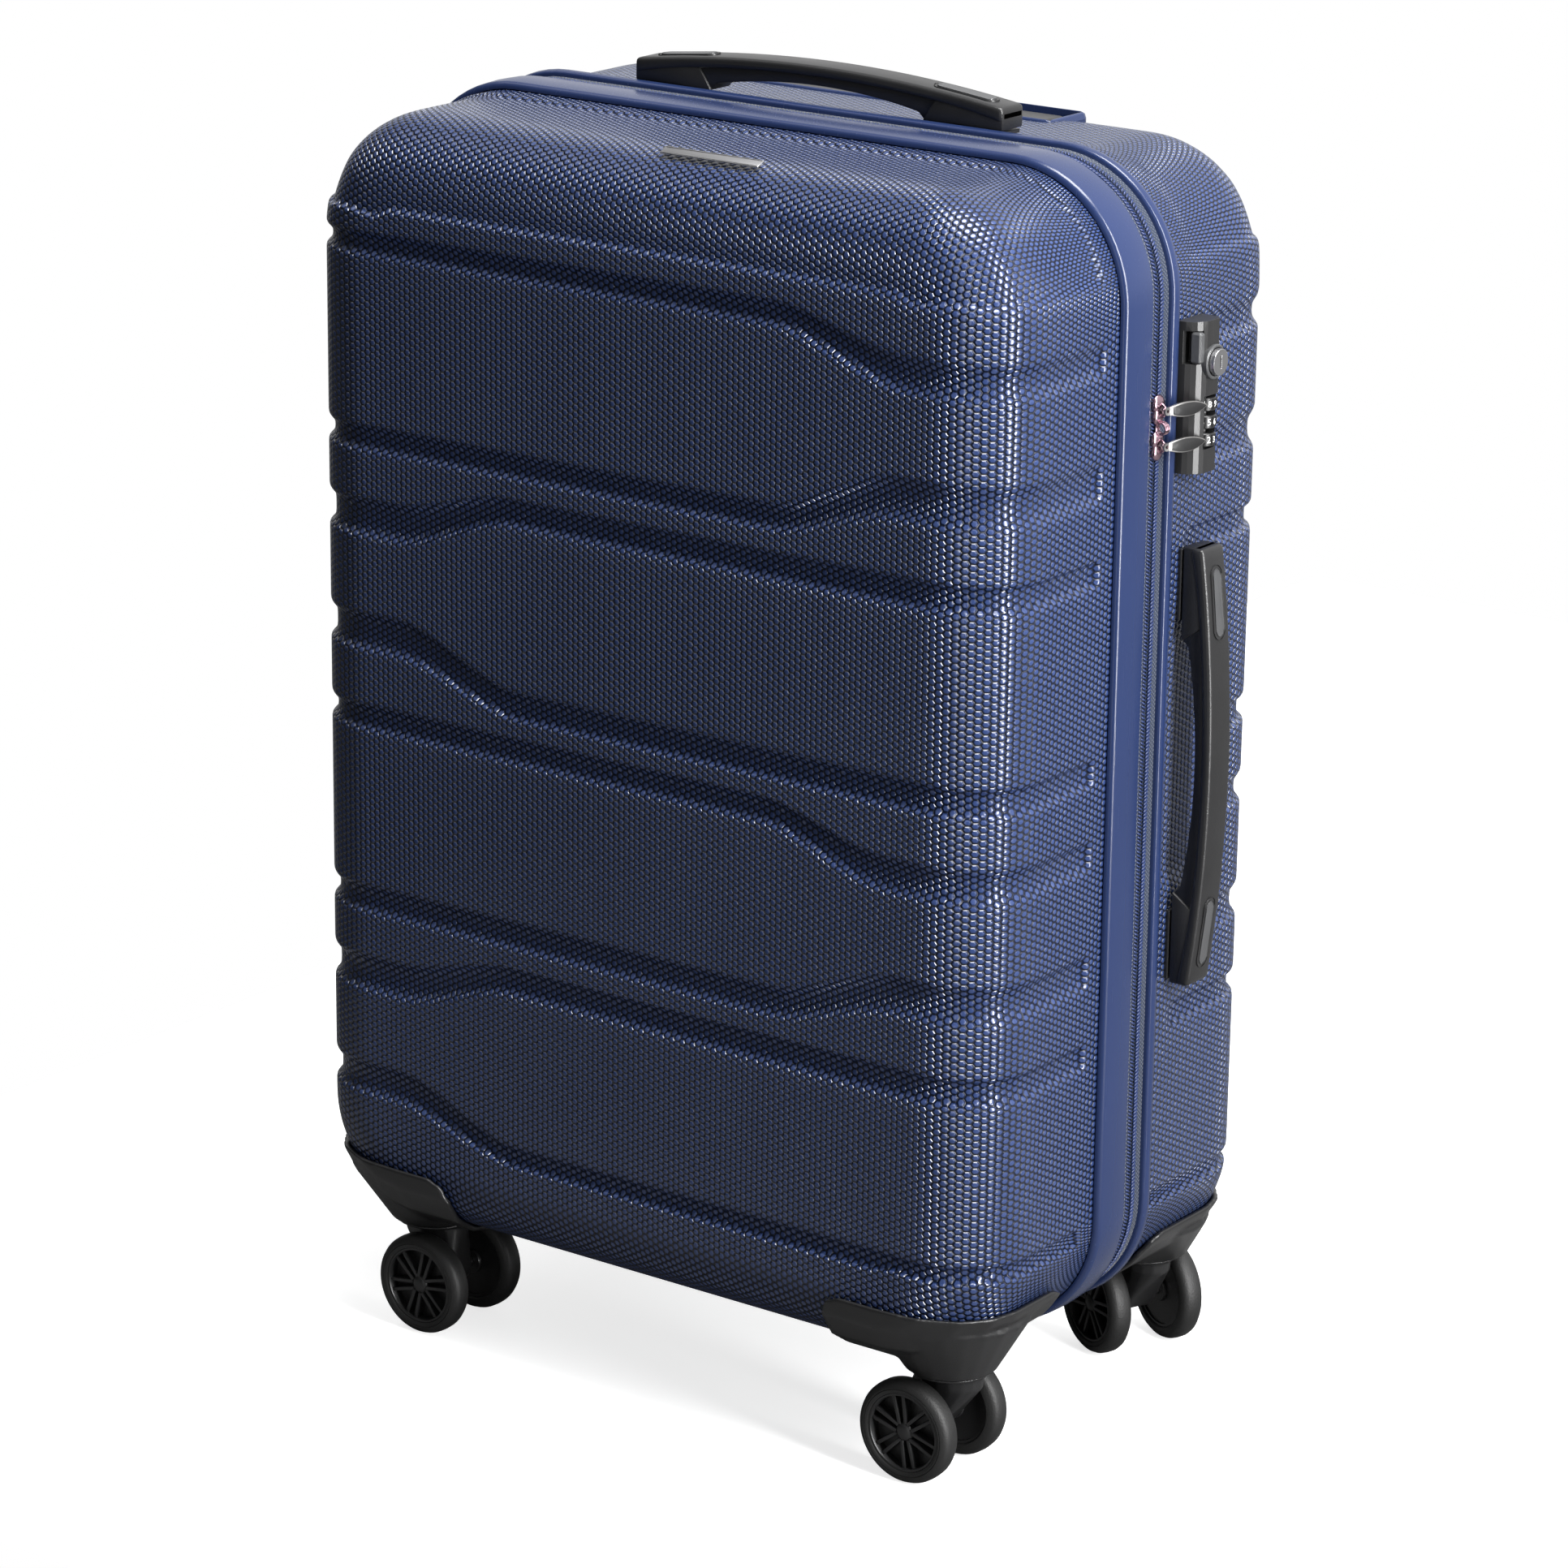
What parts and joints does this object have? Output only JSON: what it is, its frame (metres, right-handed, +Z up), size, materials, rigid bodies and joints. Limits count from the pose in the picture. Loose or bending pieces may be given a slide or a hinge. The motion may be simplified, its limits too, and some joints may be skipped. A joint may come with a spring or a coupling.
{
  "type": "hard shell suitcase",
  "caption": "Upright two-half hard shell suitcase with zip seam, combination lock, carry handles, telescopic trolley handle and swivelling double casters.",
  "frame": {"origin": "centre of the bounding box's bottom, on the floor under the wheels", "axes": "+Z up, -Y out of the front, +X towards the lock side"},
  "size_m": [0.4716, 0.2878, 0.6934],
  "materials": {
    "navy_shell": "glossy navy polycarbonate with a fine embossed honeycomb",
    "rim_blue": "smooth satin-gloss blue trim",
    "zip_tape": "woven blue zip tape with dark coil teeth",
    "lining": "grey woven lining",
    "strap": "black elastic webbing",
    "black_plastic": "satin black moulded nylon",
    "wheel_black": "matt black polyurethane wheel",
    "grey_plastic": "satin grey plastic",
    "steel": "bright steel",
    "aluminium": "satin anodised aluminium",
    "rose_chrome": "polished rose-tinted chrome"
  },
  "bodies": {
    "rear_case": {"rear_shell": "navy_shell", "rear_rim": "rim_blue", "rear_zip_tape": "zip_tape", "rear_lining": "lining", "hinge_tape": "zip_tape", "packing_strap_left": "strap", "packing_strap_right": "strap", "strap_buckle": "black_plastic", "rear_left_guard": "black_plastic", "rear_right_guard": "black_plastic", "top_handle_post_a": "black_plastic", "top_handle_post_b": "black_plastic", "side_handle_post_a": "black_plastic", "side_handle_post_b": "black_plastic", "outer_tube_left": "aluminium", "outer_tube_right": "aluminium", "tube_foot_left": "black_plastic", "tube_foot_right": "black_plastic", "trolley_cup": "black_plastic", "lock_body": "black_plastic"},
    "front_case": {"front_shell": "navy_shell", "front_rim": "rim_blue", "front_zip_tape": "zip_tape", "front_lining": "lining", "name_plate": "steel", "front_left_guard": "black_plastic", "front_right_guard": "black_plastic"},
    "top_handle": {"top_handle_grip": "black_plastic"},
    "side_handle": {"side_handle_grip": "black_plastic"},
    "middle_tubes": {"middle_tube_left": "aluminium", "middle_tube_right": "aluminium"},
    "trolley_handle": {"inner_tube_left": "aluminium", "inner_tube_right": "aluminium", "trolley_grip": "black_plastic"},
    "trolley_button": {"trolley_button": "grey_plastic"},
    "lock_button": {"lock_button": "black_plastic"},
    "key_cylinder": {"key_cylinder": "steel"},
    "dial_1": {"dial_1": "grey_plastic"},
    "dial_2": {"dial_2": "grey_plastic"},
    "dial_3": {"dial_3": "grey_plastic"},
    "upper_slider": {"zip_slider_upper": "rose_chrome"},
    "lower_slider": {"zip_slider_lower": "rose_chrome"},
    "upper_pull": {"zip_pull_upper": "rose_chrome"},
    "lower_pull": {"zip_pull_lower": "rose_chrome"},
    "front_left_caster": {"front_left_fork": "black_plastic", "front_left_axle": "steel"},
    "front_left_wheel_a": {"front_left_wheel_a": "wheel_black"},
    "front_left_wheel_b": {"front_left_wheel_b": "wheel_black"},
    "front_right_caster": {"front_right_fork": "black_plastic", "front_right_axle": "steel"},
    "front_right_wheel_a": {"front_right_wheel_a": "wheel_black"},
    "front_right_wheel_b": {"front_right_wheel_b": "wheel_black"},
    "rear_left_caster": {"rear_left_fork": "black_plastic", "rear_left_axle": "steel"},
    "rear_left_wheel_a": {"rear_left_wheel_a": "wheel_black"},
    "rear_left_wheel_b": {"rear_left_wheel_b": "wheel_black"},
    "rear_right_caster": {"rear_right_fork": "black_plastic", "rear_right_axle": "steel"},
    "rear_right_wheel_a": {"rear_right_wheel_a": "wheel_black"},
    "rear_right_wheel_b": {"rear_right_wheel_b": "wheel_black"}
  },
  "joints": [
    {"name": "case_opening", "type": "hinge", "parent": "rear_case", "child": "front_case", "pos_m": [-0.23395, -0.00798, 0.37], "axis": [0, 0, -1], "range_deg": [0, 180]},
    {"name": "top_handle_lift", "type": "slide", "parent": "rear_case", "child": "top_handle", "axis": [0, 0, 1], "range_m": [0, 0.006], "stiffness_N_per_m": 400},
    {"name": "side_handle_lift", "type": "slide", "parent": "rear_case", "child": "side_handle", "axis": [1, 0, 0], "range_m": [0, 0.006], "stiffness_N_per_m": 400},
    {"name": "trolley_middle_slide", "type": "slide", "parent": "rear_case", "child": "middle_tubes", "axis": [0, 0, 1], "range_m": [0, 0.2]},
    {"name": "trolley_grip_slide", "type": "slide", "parent": "middle_tubes", "child": "trolley_handle", "axis": [0, 0, 1], "range_m": [0, 0.2]},
    {"name": "trolley_button_press", "type": "slide", "parent": "trolley_handle", "child": "trolley_button", "axis": [0, 0, -1], "range_m": [0, 0.004], "stiffness_N_per_m": 200},
    {"name": "lock_button_press", "type": "slide", "parent": "rear_case", "child": "lock_button", "axis": [-1, 0, 0], "range_m": [0, 0.0022], "stiffness_N_per_m": 200},
    {"name": "key_turn", "type": "hinge", "parent": "rear_case", "child": "key_cylinder", "pos_m": [0.22025, 0.02542, 0.571], "axis": [1, 0, 0], "range_deg": [0, 90]},
    {"name": "dial_1_turn", "type": "hinge", "parent": "rear_case", "child": "dial_1", "pos_m": [0.22085, 0.02562, 0.5315], "axis": [0, 0, 1], "continuous": true},
    {"name": "dial_2_turn", "type": "hinge", "parent": "rear_case", "child": "dial_2", "pos_m": [0.22085, 0.02562, 0.5405], "axis": [0, 0, 1], "continuous": true},
    {"name": "dial_3_turn", "type": "hinge", "parent": "rear_case", "child": "dial_3", "pos_m": [0.22085, 0.02562, 0.5495], "axis": [0, 0, 1], "continuous": true},
    {"name": "upper_slider_run", "type": "slide", "parent": "rear_case", "child": "upper_slider", "axis": [0, 0, 1], "range_m": [0, 0.045]},
    {"name": "upper_pull_swing", "type": "hinge", "parent": "upper_slider", "child": "upper_pull", "pos_m": [0.22025, -0.00798, 0.551], "axis": [0, 0, -1], "range_deg": [0, 150]},
    {"name": "lower_slider_run", "type": "slide", "parent": "rear_case", "child": "lower_slider", "axis": [0, 0, -1], "range_m": [0, 0.38]},
    {"name": "lower_pull_swing", "type": "hinge", "parent": "lower_slider", "child": "lower_pull", "pos_m": [0.22025, -0.00798, 0.533], "axis": [0, 0, -1], "range_deg": [0, 150]},
    {"name": "front_left_swivel", "type": "hinge", "parent": "front_case", "child": "front_left_caster", "pos_m": [-0.17775, -0.09238, 0.028], "axis": [0, 0, 1], "continuous": true},
    {"name": "front_left_roll_a", "type": "hinge", "parent": "front_left_caster", "child": "front_left_wheel_a", "pos_m": [-0.16775, -0.09238, 0.028], "axis": [0, 1, 0], "continuous": true},
    {"name": "front_left_roll_b", "type": "hinge", "parent": "front_left_caster", "child": "front_left_wheel_b", "pos_m": [-0.16775, -0.09238, 0.028], "axis": [0, 1, 0], "continuous": true},
    {"name": "front_right_swivel", "type": "hinge", "parent": "front_case", "child": "front_right_caster", "pos_m": [0.16225, -0.09238, 0.028], "axis": [0, 0, 1], "continuous": true},
    {"name": "front_right_roll_a", "type": "hinge", "parent": "front_right_caster", "child": "front_right_wheel_a", "pos_m": [0.15225, -0.09238, 0.028], "axis": [0, -1, 0], "continuous": true},
    {"name": "front_right_roll_b", "type": "hinge", "parent": "front_right_caster", "child": "front_right_wheel_b", "pos_m": [0.15225, -0.09238, 0.028], "axis": [0, -1, 0], "continuous": true},
    {"name": "rear_left_swivel", "type": "hinge", "parent": "rear_case", "child": "rear_left_caster", "pos_m": [-0.16975, 0.10262, 0.028], "axis": [0, 0, 1], "continuous": true},
    {"name": "rear_left_roll_a", "type": "hinge", "parent": "rear_left_caster", "child": "rear_left_wheel_a", "pos_m": [-0.16009, 0.10521, 0.028], "axis": [-0.2588, 0.9659, 0], "continuous": true},
    {"name": "rear_left_roll_b", "type": "hinge", "parent": "rear_left_caster", "child": "rear_left_wheel_b", "pos_m": [-0.16009, 0.10521, 0.028], "axis": [-0.2588, 0.9659, 0], "continuous": true},
    {"name": "rear_right_swivel", "type": "hinge", "parent": "rear_case", "child": "rear_right_caster", "pos_m": [0.15425, 0.10262, 0.028], "axis": [0, 0, 1], "continuous": true},
    {"name": "rear_right_roll_a", "type": "hinge", "parent": "rear_right_caster", "child": "rear_right_wheel_a", "pos_m": [0.14519, 0.10685, 0.028], "axis": [-0.4226, -0.9063, 0], "continuous": true},
    {"name": "rear_right_roll_b", "type": "hinge", "parent": "rear_right_caster", "child": "rear_right_wheel_b", "pos_m": [0.14519, 0.10685, 0.028], "axis": [-0.4226, -0.9063, 0], "continuous": true}
  ],
  "couplings": [
    {"joint": "trolley_middle_slide", "follows": "trolley_grip_slide", "ratio": 1}
  ]
}
